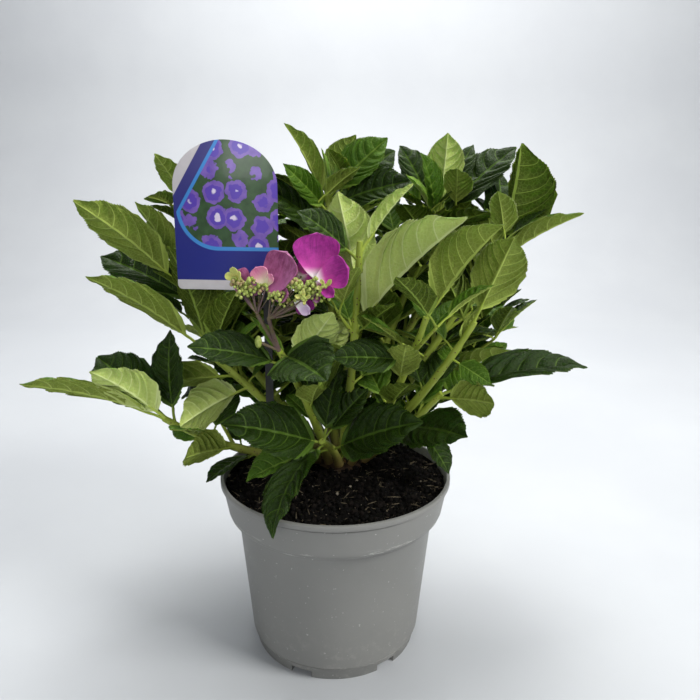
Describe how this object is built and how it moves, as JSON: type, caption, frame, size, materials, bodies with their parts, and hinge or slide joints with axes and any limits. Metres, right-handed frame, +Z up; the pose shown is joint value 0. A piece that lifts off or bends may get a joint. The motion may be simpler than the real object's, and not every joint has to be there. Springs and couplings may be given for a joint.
{
  "type": "potted hydrangea shrub",
  "caption": "Young lacecap hydrangea shrub with broad paired leaves and a purple flower head, in a round grey nursery pot with a blank arched picture label on a stake.",
  "frame": {"origin": "middle of the pot's flat underside", "axes": "+Z up along the pot's axis; -Y towards the front of the plant; +X to the right as seen from the front"},
  "size_m": [0.4813, 0.3306, 0.4829],
  "materials": {
    "pot": "matte grey moulded plastic, lightly scuffed",
    "peat": "moist dark peat",
    "stump": "brown woody stump",
    "card": "printed plastic card, blue and white",
    "stake": "black plastic strip",
    "flowers": "magenta and purple sepals with yellow-green buds",
    "canes": "green bark, slightly woody at the foot",
    "leaves": "soft sheen, dark green above and pale green below"
  },
  "bodies": {
    "root": {"pot": "pot", "soil": "peat", "stump": "stump", "label_card": "card", "label_stake": "stake", "flower_head": "flowers", "bough_front": "canes", "bough_low_left": "canes", "bough_left": "canes", "bough_upper_left": "canes", "bough_back_left": "canes", "bough_centre_back": "canes", "bough_centre": "canes", "bough_right_centre": "canes", "bough_right": "canes", "bough_far_right": "canes", "bough_right_top": "canes", "bough_low_right": "canes", "bough_back_right": "canes", "bough_back_middle": "canes", "bough_low_back": "canes", "bough_low_back_left": "canes", "bough_low_back_right": "canes", "leaves_low_front": "leaves", "leaves_front": "leaves", "leaves_low_left": "leaves", "leaves_left": "leaves", "leaves_upper_left": "leaves", "leaves_back_left": "leaves", "leaves_centre_back": "leaves", "leaves_centre": "leaves", "leaves_right_centre": "leaves", "leaves_right": "leaves", "leaves_far_right": "leaves", "leaves_right_top": "leaves", "leaves_low_right": "leaves", "leaves_back_right": "leaves", "leaves_back_middle": "leaves", "leaves_low_back": "leaves", "leaves_low_back_left": "leaves", "leaves_low_back_right": "leaves"}
  },
  "joints": []
}
